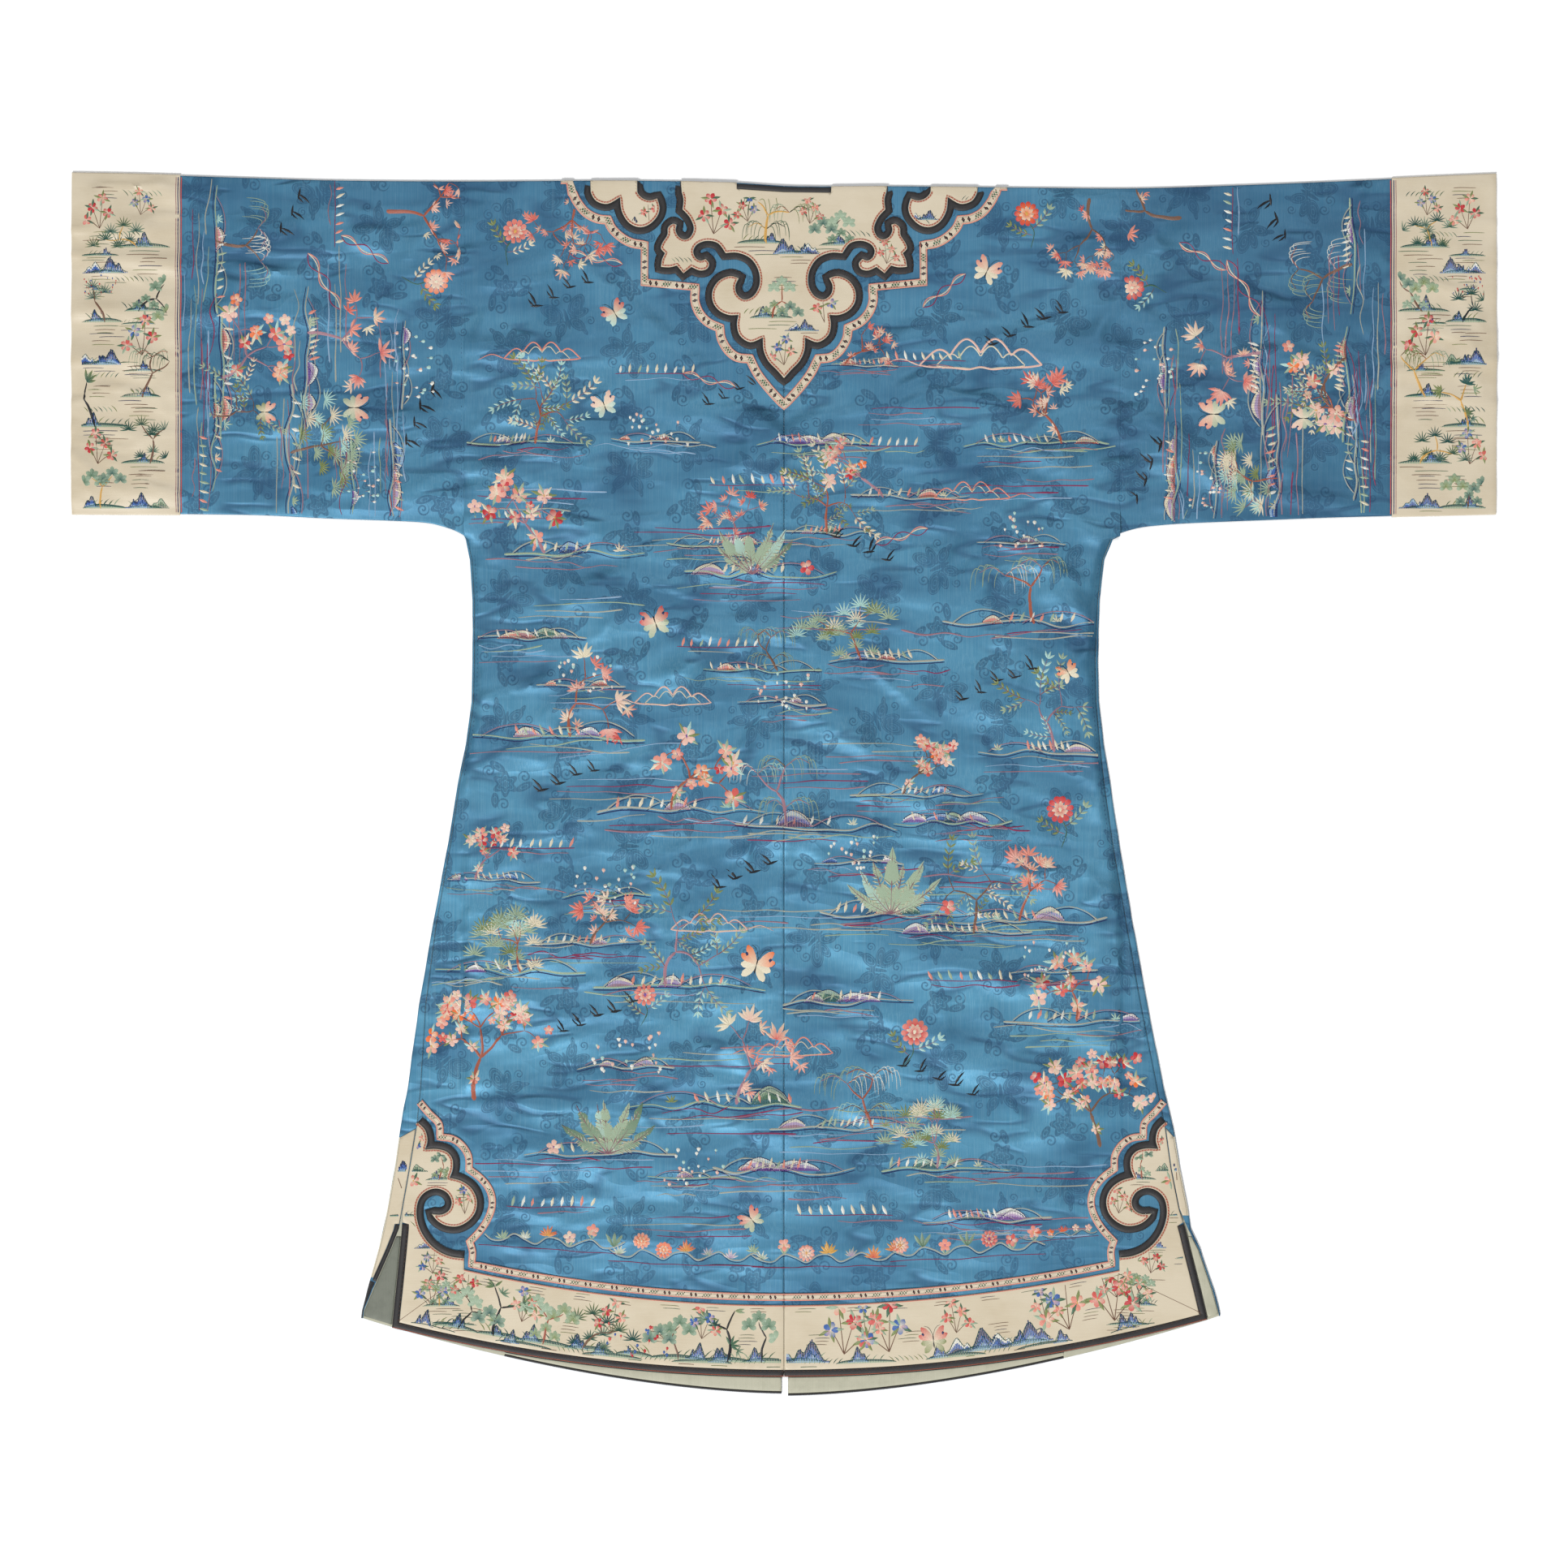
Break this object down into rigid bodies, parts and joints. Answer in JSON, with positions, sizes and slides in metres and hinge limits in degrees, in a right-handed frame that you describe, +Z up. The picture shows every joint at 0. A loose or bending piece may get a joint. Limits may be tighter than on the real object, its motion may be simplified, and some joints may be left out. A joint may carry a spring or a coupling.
{
  "type": "embroidered silk surcoat, laid flat",
  "caption": "Front-opening silk surcoat laid flat with its back up, with cloud collar, bound side vents, ivory hem border and wide straight sleeves.",
  "frame": {"origin": "on the surface that the garment lies on, under the middle of its box", "axes": "+X along the shoulders towards the sleeve on the right of the back view, +Y from hem to shoulders, +Z up, out of the back"},
  "size_m": [1.334, 1.1458, 0.0066],
  "materials": {
    "silk": "figured blue silk damask, satin sheen",
    "satin": "ivory silk satin, embroidered",
    "binding": "black satin bias strip",
    "ribbon": "narrow woven silk ribbon",
    "lining": "pale grey-green silk"
  },
  "bodies": {
    "root": {"back_left": "silk", "back_right": "silk", "front_left": "silk", "front_right": "silk", "sleeve_left": "silk", "sleeve_right": "silk", "sleeve_band_left": "satin", "sleeve_band_right": "satin", "collar_yoke": "satin", "collar_lobe_left": "satin", "collar_lobe_right": "satin", "collar_binding": "binding", "lobe_binding_left": "binding", "lobe_binding_right": "binding", "neck_binding": "binding", "collar_ribbon": "ribbon", "hem_border_left": "satin", "hem_border_right": "satin", "hem_binding_left": "binding", "hem_binding_right": "binding", "cloud_head_binding_left": "binding", "cloud_head_binding_right": "binding", "hem_ribbon_left": "ribbon", "hem_ribbon_right": "ribbon", "hem_lining_left": "lining", "hem_lining_right": "lining", "vent_lining_left": "lining", "vent_lining_right": "lining", "front_hem_binding_left": "binding", "front_hem_binding_right": "binding", "front_border_lap_left": "satin", "front_border_lap_right": "satin", "flap_binding_left": "binding"}
  },
  "joints": []
}
